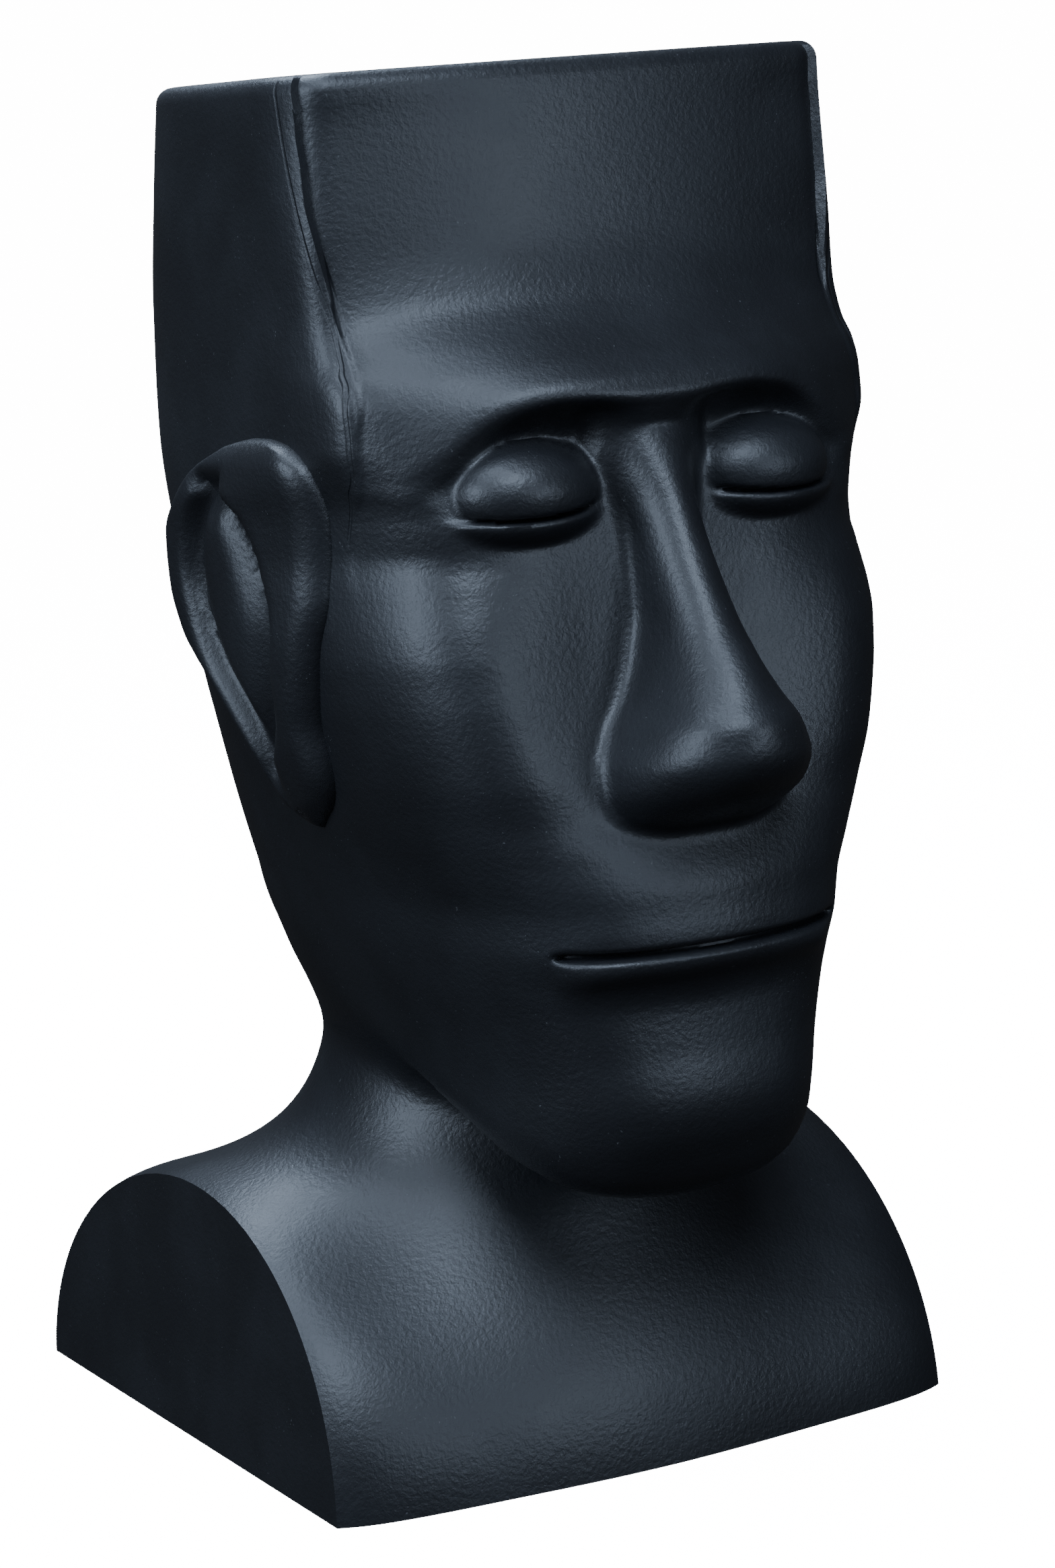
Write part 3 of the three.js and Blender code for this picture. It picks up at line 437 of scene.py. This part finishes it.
class Net:
    """Points over half of the figure, in columns from the mid-line of the face to that of the back."""

    def __init__(self, figure, rim_round):
        self.figure = figure
        self.rim_round = rim_round
        self.columns = [("face", t) for t in FACE_SHARES]
        self.columns += [("side", t) for t in SIDE_SHARES]
        self.columns += [("back", t) for t in BACK_SHARES]

    def arch_point(self, share):
        c = math.cos(math.pi * share)
        s = abs(math.sin(math.pi * share))
        power = ARCH_FRONT_POWER if c > 0 else ARCH_BACK_POWER
        reach = self.figure.reach if c > 0 else ARCH_BACK_REACH
        r = (abs(c) ** power + s**power) ** (-1 / power)
        return np.array([ARCH_RIDGE_Y - math.copysign(reach * abs(c) * r, c), self.figure.arch * s * r])

    def end_x(self, z):
        return self.figure.width - self.figure.draft * z

    def base_rows(self, part, t):
        """Rows of one column over the base, as known points or as lines to follow outward."""
        points, starts, aims = [], [], []
        for row in range(BASE_ROWS + 1):
            v = row / BASE_ROWS
            front = self.arch_point(ARCH_FRONT_SHARE * v)
            back = self.arch_point(1 - (1 - ARCH_BACK_SHARE) * v)
            if part == "side":
                top = self.arch_point(ARCH_FRONT_SHARE + (ARCH_BACK_SHARE - ARCH_FRONT_SHARE) * t)
                foot = self.arch_point(0) * (1 - t) + self.arch_point(1) * t
                foot[1] = 0
                feet = self.arch_point(0) * (1 - t) + self.arch_point(1) * t
                tops = self.arch_point(ARCH_FRONT_SHARE) * (1 - t) + self.arch_point(ARCH_BACK_SHARE) * t
                y, z = foot * (1 - v) + top * v + front * (1 - t) + back * t - feet * (1 - v) - tops * v
                points.append((self.end_x(z), y, z))
                continue
            y, z = front if part == "face" else back
            end = self.end_x(z)
            x = end * (t if part == "face" else 1 - t)
            in_x = min(x, end - 0.15)
            level = max(z, 0.2)
            starts.append((in_x, ARCH_RIDGE_Y, level))
            aims.append((in_x, y - 20 if part == "face" else y + 20, level))
            points.append((x, 0, z))
        return points, starts, aims

    def face_x(self, t, z):
        """Sideways place of a face column: the columns gather along the walls of the nose."""
        full = float(track("aim_x", z))
        plain = full * t
        knots = [0, float(track("ridge_half", z)), float(track("foot_half", z)) + 6, full]
        gathered = np.interp(t, [0, RIDGE_SHARE, FOOT_SHARE, 1], knots)
        weight = float(ramp(*GATHER_START, z) * (1 - ramp(*GATHER_END, z)))
        return plain * (1 - weight) + gathered * weight

    def head_line(self, part, t, z):
        edge_x = float(track("aim_x", z))
        edge_y = (CORNER_NORMAL[0] * edge_x - float(track("corner", z)) + 5) / -CORNER_NORMAL[1]
        half = float(track("half_width", z))
        back_y = float(track("back_depth", z)) - 50
        if part == "face":
            x = self.face_x(t, z)
            g = x / edge_x
            first = float(track("face_start", z))
            start = (x * 0.6 * float(ramp(0.12, 0.4, g)), first + (30 - first) * g**1.5, z)
            return start, (x, -78 * (1 - g * g) + edge_y * g * g, z)
        if part == "side":
            if t < 0.25:
                aim = edge_x + (half - edge_x) * 4 * t
            else:
                aim = half * (1 - 0.12 * ((t - 0.25) / 0.75) ** 3)
            return ((edge_x * 0.6 * (1 - t), float(track("side_start", t)), z),
                    (aim, edge_y + (back_y - edge_y) * t, z))
        return (0, 150, z), (half * 0.88 * (1 - t), back_y + 50 * math.sin(t * math.pi / 2), z)

    def turn_station(self, part, t, i):
        parts = ("front", "corner", "side", "back")
        front, corner, side, back = (np.array(GUIDES[name][i], float) for name in parts)
        rounded = np.array([side[0] * 0.82, back[1] - 28, (side[2] + 2 * back[2]) / 3])
        starts = {name: np.array(GUIDES[name + "_start"][i], float) for name in parts}
        if part == "face":
            first, last, w, bend = front, corner, t, t * t
            start = starts["front"] * (1 - t) + starts["corner"] * t
        elif part == "side" and t < 0.5:
            first, last, w, bend = corner, side, t * 2, t * 2
            start = starts["corner"] * (1 - w) + starts["side"] * w
        elif part == "side":
            first, last, w, bend = side, rounded, t * 2 - 1, t * 2 - 1
            start = starts["side"] * (1 - w) + starts["back"] * w
        else:
            first, last, w, bend = rounded, back, t, t * t
            start = starts["back"]
        aim = first * (1 - bend) + last * bend
        aim[0] = first[0] * (1 - w) + last[0] * w
        return np.array([aim[0] * START_SPREAD[i], *start]), aim

    def turn_line(self, part, t, v, shoulder):
        s = min(int(np.searchsorted(STATIONS, v, side="right")) - 1, len(STATIONS) - 2)
        f = (v - STATIONS[s]) / (STATIONS[s + 1] - STATIONS[s])
        ends = []
        for i in (s, s + 1):
            if i == len(STATIONS) - 1:
                ends.append([np.array(p, float) for p in self.head_line(part, t, HEAD_ROWS[0])])
            else:
                start, aim = self.turn_station(part, t, i)
                ends.append([start, shoulder if i == 0 else aim])
        return ends[0][0] * (1 - f) + ends[1][0] * f, ends[0][1] * (1 - f) + ends[1][1] * f

    def half_points(self):
        """All points of the half figure, as an array of columns by rows by three."""
        known, starts, aims = [], [], []
        for part, t in self.columns:
            points, start, aim = self.base_rows(part, t)
            known.append(points)
            starts.append(start)
            aims.append(aim)
        open_columns = [i for i, start in enumerate(starts) if start]
        hits = leave(self.figure.depth, np.array([starts[i] for i in open_columns], float),
                     np.array([aims[i] for i in open_columns], float))
        base = np.array(known, float)
        for i, hit in zip(open_columns, hits):
            base[i, :, 1] = hit[:, 1]
        lines = []
        for i, (part, t) in enumerate(self.columns):
            turn = [self.turn_line(part, t, row / (TURN_ROWS + 1), base[i, -1])
                    for row in range(1, TURN_ROWS + 1)]
            head = [self.head_line(part, t, z) for z in HEAD_ROWS]
            lines.append([[np.array(a, float), np.array(b, float)] for a, b in turn + head])
        lines = np.array(lines, float)
        upper = leave(self.figure.depth, lines[:, :, 0], lines[:, :, 1])
        rim = upper[:, -1:]
        inward = np.array([0.0, TOP_CENTRE_Y, 0.0]) - rim
        inward[..., 2] = 0
        inward /= np.linalg.norm(inward, axis=-1, keepdims=True)
        angle = np.radians(np.array(RIM_ANGLES))[None, :, None]
        top = rim + inward * self.rim_round * (1 - np.cos(angle))
        top[..., 2] += (self.rim_round * np.sin(angle))[..., 0]
        half = np.concatenate([base, upper, top], axis=1)
        half[0, :, 0] = 0
        half[-1, :, 0] = 0
        return half


def closed_rings(rings, first_centre, last_centre):
    """Points and faces of a closed surface over rings of points, with a flat fan at each end."""
    around, tall = rings.shape[:2]
    points = np.concatenate([rings.reshape(-1, 3), [first_centre], [last_centre]])
    first, last = around * tall, around * tall + 1
    faces = []
    for i in range(around):
        a, b = i * tall, (i + 1) % around * tall
        faces += [(a + j, b + j, b + j + 1, a + j + 1) for j in range(tall - 1)]
        faces.append((first, b, a))
        faces.append((last, a + tall - 1, b + tall - 1))
    return points, faces


def add_mesh(name, points, faces):
    mesh = bpy.data.meshes.new(name)
    mesh.from_pydata((points * MM).tolist(), [], faces)
    mesh.validate()
    obj = bpy.data.objects.new(name, mesh)
    bpy.context.scene.collection.objects.link(obj)
    return obj


def make_active(obj):
    bpy.ops.object.select_all(action="DESELECT")
    bpy.context.view_layer.objects.active = obj
    obj.select_set(True)


def ear_mesh(figure, side):
    """A closed ear: rings from its middle to the rim, then down into the side of the head."""
    spokes = 112
    shares = np.array(spaced((0.06, 0.6, 0.06), (0.6, 0.9, 0.025), (0.9, 1, 0.0125)))
    angle = -2 * math.pi * np.arange(spokes) / spokes * side
    low, high = np.zeros(spokes), np.full(spokes, 160.0)
    for _ in range(28):
        r = (low + high) / 2
        inside = ear_inset(EAR_MIDDLE[0] + r * np.cos(angle), EAR_MIDDLE[1] + r * np.sin(angle)) > 0.3
        low, high = np.where(inside, r, low), np.where(inside, high, r)
    y = EAR_MIDDLE[0] + low[:, None] * shares * np.cos(angle)[:, None]
    z = EAR_MIDDLE[1] + low[:, None] * shares * np.sin(angle)[:, None]
    y, z = np.append(y, EAR_MIDDLE[0]), np.append(z, EAR_MIDDLE[1])
    start = np.stack([np.full(y.shape, 80.0), y, z], axis=-1)
    wall = leave(figure.depth, start, start + (100.0, 0, 0))
    wall[:, 0] += ear_rise(y, z)
    middle = wall[-1]
    rings = wall[:-1].reshape(spokes, len(shares), 3)
    root = rings[:, -1:].copy()
    root[..., 0] -= EAR_ROOT
    rings = np.concatenate([rings, root], axis=1)
    sign = np.array([side, 1, 1])
    inner = middle - np.array([EAR_ROOT * 2, 0, 0])
    return closed_rings(rings * sign, middle * sign, inner * sign)


class Wire:
    """A shader socket that can be used in plain arithmetic."""

    def __init__(self, graph, socket):
        self.graph = graph
        self.socket = socket

    def math(self, operation, *values):
        return self.graph.node("ShaderNodeMath", {"operation": operation}, dict(enumerate(values)))

    def __abs__(self):
        return self.math("ABSOLUTE", self)

    def __add__(self, other):
        return self.math("ADD", self, other)

    def __radd__(self, other):
        return self.math("ADD", other, self)

    def __sub__(self, other):
        return self.math("SUBTRACT", self, other)

    def __rsub__(self, other):
        return self.math("SUBTRACT", other, self)

    def __mul__(self, other):
        return self.math("MULTIPLY", self, other)

    def __truediv__(self, other):
        return self.math("DIVIDE", self, other)

    def ramp(self, start, end):
        settings = {"interpolation_type": "SMOOTHSTEP"}
        inputs = {"Value": self, "From Min": start, "From Max": end}
        return self.graph.node("ShaderNodeMapRange", settings, inputs)


class Graph:
    """Nodes of one material."""

    def __init__(self, name):
        self.material = bpy.data.materials.new(name)
        self.material.use_nodes = True
        self.tree = self.material.node_tree
        self.tree.nodes.clear()
        self.output = self.tree.nodes.new("ShaderNodeOutputMaterial")

    def node(self, kind, settings=None, inputs=None, output=0):
        node = self.tree.nodes.new(kind)
        for key, value in (settings or {}).items():
            setattr(node, key, value)
        for key, value in (inputs or {}).items():
            if isinstance(value, Wire):
                self.tree.links.new(value.socket, node.inputs[key])
            else:
                node.inputs[key].default_value = value
        return Wire(self, node.outputs[output])

    def curve(self, value, points):
        """Height of the smooth curve through points, at a varying value."""
        (low, *_, high), heights = zip(*points)
        bottom, top = min(heights), max(heights)
        spots = [((at - low) / (high - low), (height - bottom) / (top - bottom)) for at, height in points]
        node = self.tree.nodes.new("ShaderNodeFloatCurve")
        line = node.mapping.curves[0].points
        line[0].location, line[1].location = spots[0], spots[-1]
        for spot in spots[1:-1]:
            line.new(*spot)
        node.mapping.update()
        self.tree.links.new(((value - low) / (high - low)).socket, node.inputs["Value"])
        return Wire(self, node.outputs[0]) * (top - bottom) + bottom

    def near(self, place, centre, radius):
        """One at the centre of a spot, nothing beyond its radius."""
        away = self.node("ShaderNodeVectorMath", {"operation": "DISTANCE"}, {0: place, 1: centre}, output=1)
        return 1 - away.ramp(radius * 0.35, radius)

    def mix(self, factor, first, second):
        inputs = {0: factor, 6: first, 7: second}
        return self.node("ShaderNodeMix", {"data_type": "RGBA"}, inputs, output=2)

    def finish(self, shader):
        self.tree.links.new(shader.socket, self.output.inputs["Surface"])
        return self.material


# Marks of the cast in millimetres: the mould seam on each temple as height and place from front to back,
# how far out and how high it shows, and the chips as place and radius.
SEAM = ((549, -30), (575, -40), (597, -49), (628, -47), (643, -39), (671, -29), (711, -21), (762, -11),
        (791, -7))
SEAM_OUT = (130, 140)
SEAM_START = (545, 560)
SEAM_END = (793, 799)
CHIPS = ((-34, -98, 590, 9), (-30, -100, 578, 5), (-168, 42, 393, 8), (4, -150, 392, 7))


def paint_material(paint, shift):
    """Black paint over the cast; shift is how far back the cast stands from its own tables, in metres."""
    graph = Graph("black_paint")
    place = graph.node("ShaderNodeTexCoord", output="Object")
    axes = graph.node("ShaderNodeSeparateXYZ", {}, {"Vector": place}).socket.node.outputs
    x, y, z = (Wire(graph, axis) for axis in axes)

    def noise(pitch, detail=2.0, roughness=0.5):
        inputs = {"Vector": place, "Scale": 1 / pitch, "Detail": detail, "Roughness": roughness}
        return graph.node("ShaderNodeTexNoise", {}, inputs)

    cloud = noise(0.09, 4.0, 0.6).ramp(0.35, 0.7)
    dust = noise(0.0016, 1.0).ramp(0.72, 0.78) * noise(0.03, 2.0).ramp(0.5, 0.62)
    body = graph.mix(cloud, (*paint.colour_deep, 1), (*paint.colour, 1))
    colour = graph.mix(dust, body, (*paint.dust_colour, 1))
    roughness = paint.roughness + (cloud - 0.5) * 0.06 + dust * 0.2
    peel = noise(paint.peel_pitch, 2.5, 0.55)
    fine = noise(paint.peel_pitch * 0.35, 2.0)
    seam_line = graph.curve(z, [(up * MM, back * MM + shift) for up, back in SEAM])
    out, low, high = ([edge * MM for edge in stretch] for stretch in (SEAM_OUT, SEAM_START, SEAM_END))
    on_temple = abs(x).ramp(*out) * z.ramp(*low) * (1 - z.ramp(*high))
    seam = (1 - abs(y - seam_line).ramp(paint.seam_width * 0.3, paint.seam_width)) * on_temple
    height = (peel + fine * 0.25) * paint.peel_depth - seam * paint.seam_depth
    flake = noise(0.004, 3.0).ramp(0.45, 0.55)
    for across, back, up, radius in CHIPS:
        spot = (across * MM, back * MM + shift, up * MM)
        height = height - graph.near(place, spot, radius * MM) * flake * paint.chip_depth
    bumped = graph.node("ShaderNodeBump", {}, {"Strength": 1.0, "Distance": 1.0, "Height": height})
    inputs = {"Base Color": colour, "Roughness": roughness, "Normal": bumped, "Metallic": 0.0,
              "Specular IOR Level": paint.sheen}
    return graph.finish(graph.node("ShaderNodeBsdfPrincipled", {}, inputs))


def plain_material(name, colour, glow=0.0):
    graph = Graph(name)
    inputs = {"Base Color": (*colour, 1), "Roughness": 0.9, "Specular IOR Level": 0.1,
              "Emission Color": (*colour, 1), "Emission Strength": glow}
    return graph.finish(graph.node("ShaderNodeBsdfPrincipled", {}, inputs))


def length(name, description, default):
    return bpy.props.FloatProperty(name=name, description=description, default=default, unit="LENGTH", min=0)


def share(name, description, default):
    return bpy.props.FloatProperty(name=name, description=description, default=default, min=0)


def watts(name, description, default):
    return bpy.props.FloatProperty(name=name, description=description, default=default, unit="POWER", min=0)


def colour(name, description, default):
    return bpy.props.FloatVectorProperty(name=name, description=description, default=default, subtype="COLOR",
                                         size=3, min=0, max=1)


class HeadSizes(bpy.types.PropertyGroup):
    width: length("Base width", "Width of the shoulder base at the ground", 0.4)
    base_height: length("Base height", "Height of the arch of the shoulder base", 0.16)
    base_front: length("Front reach", "From the ridge of the arch to its front foot", 0.195)
    front_bow: length("Front bow", "How far the front of the base bows out at its middle", 0.016)
    end_draft: share("End draft", "Lean of the end faces, as run over rise", 0.045)
    rim_round: length("Rim round", "Radius of the edge round the flat top", 0.01)
    strip_height: length("Strip height", "How far the temple strip stands above the face", 0.0045)
    mouth_depth: length("Mouth depth", "Depth of the line between the lips", 0.009)
    lip_height: length("Lip height", "How far the lower lip stands out", 0.005)


class HeadPaint(bpy.types.PropertyGroup):
    colour: colour("Colour", "Black paint where it is lightest", (0.0105, 0.0115, 0.0135))
    colour_deep: colour("Deep colour", "Black paint where it is darkest", (0.0085, 0.009, 0.0105))
    dust_colour: colour("Dust", "Small pale specks on the paint", (0.05, 0.052, 0.055))
    roughness: share("Roughness", "Surface roughness of the paint", 0.45)
    sheen: share("Sheen", "Strength of the surface reflection", 0.5)
    peel_pitch: length("Texture pitch", "Distance between the bumps of the rolled paint", 0.003)
    peel_depth: length("Texture depth", "Height of the bumps of the rolled paint", 0.00035)
    seam_width: length("Seam width", "Half width of the mould seam on the temples", 0.0014)
    seam_depth: length("Seam depth", "Depth of the mould seam on the temples", 0.0007)
    chip_depth: length("Chip depth", "Depth of the small chips in the cast", 0.0012)


class StageSetup(bpy.types.PropertyGroup):
    floor_colour: colour("Floor", "Colour of the floor and backdrop", (0.9, 0.9, 0.9))
    glow: share("Floor glow", "How brightly the floor and the backdrop shine", 17.0)
    light_colour: colour("Light colour", "Colour of the soft lights", (0.66, 0.80, 1.0))
    key_power: watts("Key light", "Power of the soft light above the face", 105)
    front_power: watts("Front light", "Power of the low light in front of the face", 27)
    left_power: watts("Left light", "Power of the soft light on the left", 88)
    top_power: watts("Top light", "Power of the soft light high on the left", 65)
    back_power: watts("Back light", "Power of the soft light above the back", 110)
    ambience: share("Ambience", "Strength of the even light from all round", 0.06)
    lens: bpy.props.FloatProperty(name="Lens", description="Focal length of the camera", default=95.7,
                                  unit="CAMERA", min=1)


class HEAD_OT_bust(bpy.types.Operator):
    """Builds the statue as one closed mesh with its paint"""

    bl_idname = "stone_head.bust"
    bl_label = "Build the statue"

    def execute(self, context):
        sizes = context.scene.head_sizes
        figure = Figure(sizes)
        half = Net(figure, sizes.rim_round / MM).half_points()
        other = half[1:-1][::-1] * np.array([-1.0, 1.0, 1.0])
        rings = np.concatenate([half, other])
        top = (0, TOP_CENTRE_Y, float(rings[0, -1, 2]))
        points, faces = closed_rings(rings, (0, ARCH_RIDGE_Y, 0), top)
        bust = add_mesh("moai_bust_finish", points, faces)
        for side in (1, -1):
            ear = add_mesh("ear", *ear_mesh(figure, side))
            make_active(bust)
            join = bust.modifiers.new("ear", "BOOLEAN")
            join.operation = "UNION"
            join.solver = "MANIFOLD"
            join.object = ear
            bpy.ops.object.modifier_apply(modifier=join.name)
            bpy.data.objects.remove(ear)
        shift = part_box(NODE)[1].y - max(v.co.y for v in bust.data.vertices)
        bust.data.transform(Matrix.Translation((0, shift, 0)))
        make_active(bust)
        bpy.ops.object.mode_set(mode="EDIT")
        bpy.ops.mesh.select_all(action="SELECT")
        bpy.ops.mesh.remove_doubles(threshold=WELD_DISTANCE)
        bpy.ops.mesh.normals_make_consistent(inside=False)
        bpy.ops.object.mode_set(mode="OBJECT")
        bpy.ops.object.shade_smooth_by_angle(angle=math.radians(SMOOTH_UP_TO))
        bust.data.materials.clear()
        bust.data.materials.append(paint_material(context.scene.head_paint, shift))
        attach(bust, "root")
        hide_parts(NODE)
        triangles = sum(len(p.vertices) - 2 for p in bust.data.polygons)
        print("triangles", triangles)
        if triangles >= MOST_TRIANGLES:
            raise RuntimeError("the statue has too many triangles")
        return {"FINISHED"}


# Stage in metres and degrees, and the film in millimetres. A light is its name, its turn from the face, its
# rise and its width.
LIGHTS = (("key", -18, 45, 1.8), ("front", 17, 6, 1.0), ("left", -80, 20, 1.8), ("top", -80, 70, 1.8),
          ("back", 180, 60, 1.8))
LIGHT_TARGET = (0, 0, 0.45)
LIGHT_DISTANCE = 3.2
FLOOR_SIZE = 40
BACKDROP_RADIUS = 19
CAMERA_PLACE = (-1.084, -2.061, 0.775)
CAMERA_TURN = (-26.78, 9.22, -4.27)
FILM_HEIGHT = 36
AIR_COLOUR = (0.5, 0.5, 0.52, 1)


class HEAD_OT_stage(bpy.types.Operator):
    """Builds the floor, the backdrop, the soft lights and the camera"""

    bl_idname = "stone_head.stage"
    bl_label = "Build the stage"

    def execute(self, context):
        setup = context.scene.head_stage
        white = plain_material("backdrop", setup.floor_colour, setup.glow)
        pale = plain_material("floor", setup.floor_colour, setup.glow)
        bpy.ops.object.select_all(action="DESELECT")
        bpy.ops.mesh.primitive_plane_add(size=FLOOR_SIZE, location=(0, 0, 0))
        floor = context.object
        floor.name = "floor"
        floor.data.materials.append(pale)
        bpy.ops.mesh.primitive_uv_sphere_add(radius=BACKDROP_RADIUS, segments=48, ring_count=24,
                                             location=(0, 0, 0))
        backdrop = context.object
        backdrop.name = "backdrop"
        backdrop.data.materials.append(white)
        for obj in (floor, backdrop):
            obj.visible_glossy = False
            obj.visible_diffuse = False
            obj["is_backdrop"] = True
        backdrop.visible_shadow = False
        powers = (setup.key_power, setup.front_power, setup.left_power, setup.top_power, setup.back_power)
        for (name, turn, rise, size), power in zip(LIGHTS, powers):
            self.light(name, math.radians(turn), math.radians(rise), size, power, setup.light_colour)
        world = bpy.data.worlds.new("studio")
        world.use_nodes = True
        world.node_tree.nodes["Background"].inputs["Color"].default_value = AIR_COLOUR
        world.node_tree.nodes["Background"].inputs["Strength"].default_value = setup.ambience
        context.scene.world = world
        self.camera(context, setup.lens)
        return {"FINISHED"}

    def light(self, name, turn, rise, size, power, tint):
        """Adds a round soft light on a sphere round the statue; turn is counted from the face."""
        target = Vector(LIGHT_TARGET)
        level = Vector((math.sin(turn), -math.cos(turn), 0)) * math.cos(rise)
        place = target + (level + Vector((0, 0, math.sin(rise)))) * LIGHT_DISTANCE
        data = bpy.data.lights.new(name, "AREA")
        data.shape = "DISK"
        data.size = size
        data.energy = power
        data.color = tint
        lamp = bpy.data.objects.new(name, data)
        lamp.location = place
        lamp.rotation_euler = (target - place).to_track_quat("-Z", "Y").to_euler()
        bpy.context.scene.collection.objects.link(lamp)
        lamp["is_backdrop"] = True

    def camera(self, context, lens):
        yaw, pitch, roll = (math.radians(angle) for angle in CAMERA_TURN)
        back = Vector((math.sin(yaw) * math.cos(pitch), -math.cos(yaw) * math.cos(pitch), math.sin(pitch)))
        right = Vector((math.cos(yaw), math.sin(yaw), 0))
        up = back.cross(right)
        turned_right = right * math.cos(roll) + up * math.sin(roll)
        turned_up = up * math.cos(roll) - right * math.sin(roll)
        data = bpy.data.cameras.new("camera")
        data.sensor_fit = "VERTICAL"
        data.sensor_height = FILM_HEIGHT
        data.lens = lens
        data.dof.use_dof = False
        camera = bpy.data.objects.new("camera", data)
        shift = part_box(NODE)[1].y - (ARCH_RIDGE_Y + ARCH_BACK_REACH + END_ROUND) * MM
        rotation = Matrix((turned_right, turned_up, back)).transposed().to_4x4()
        x, y, z = CAMERA_PLACE
        camera.matrix_world = Matrix.Translation((x, y + shift, z)) @ rotation
        context.scene.collection.objects.link(camera)
        context.scene.camera = camera
        camera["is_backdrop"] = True


class HEAD_PT_panel(bpy.types.Panel):
    """Sizes, paint and stage of the statue"""

    bl_label = "Stone head"
    bl_idname = "HEAD_PT_panel"
    bl_space_type = "VIEW_3D"
    bl_region_type = "UI"
    bl_category = "Stone head"

    def draw(self, context):
        for group in (context.scene.head_sizes, context.scene.head_paint, context.scene.head_stage):
            box = self.layout.box()
            for name in group.__annotations__:
                box.prop(group, name)
        self.layout.operator(HEAD_OT_bust.bl_idname)
        self.layout.operator(HEAD_OT_stage.bl_idname)


CLASSES = (HeadSizes, HeadPaint, StageSetup, HEAD_OT_bust, HEAD_OT_stage, HEAD_PT_panel)
GROUPS = {"head_sizes": HeadSizes, "head_paint": HeadPaint, "head_stage": StageSetup}


def register():
    for cls in CLASSES:
        bpy.utils.register_class(cls)
    for name, group in GROUPS.items():
        setattr(bpy.types.Scene, name, bpy.props.PointerProperty(type=group))


def unregister():
    for name in GROUPS:
        delattr(bpy.types.Scene, name)
    for cls in reversed(CLASSES):
        bpy.utils.unregister_class(cls)


def plain(bounds):
    return json.loads(json.dumps(bounds, default=list))


def main():
    register()
    bpy.ops.stone_head.bust()
    bpy.ops.stone_head.stage()
    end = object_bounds()
    {"start": plain(START_BOUNDS), "end": plain(end)}


if __name__ == "__main__":
    main()
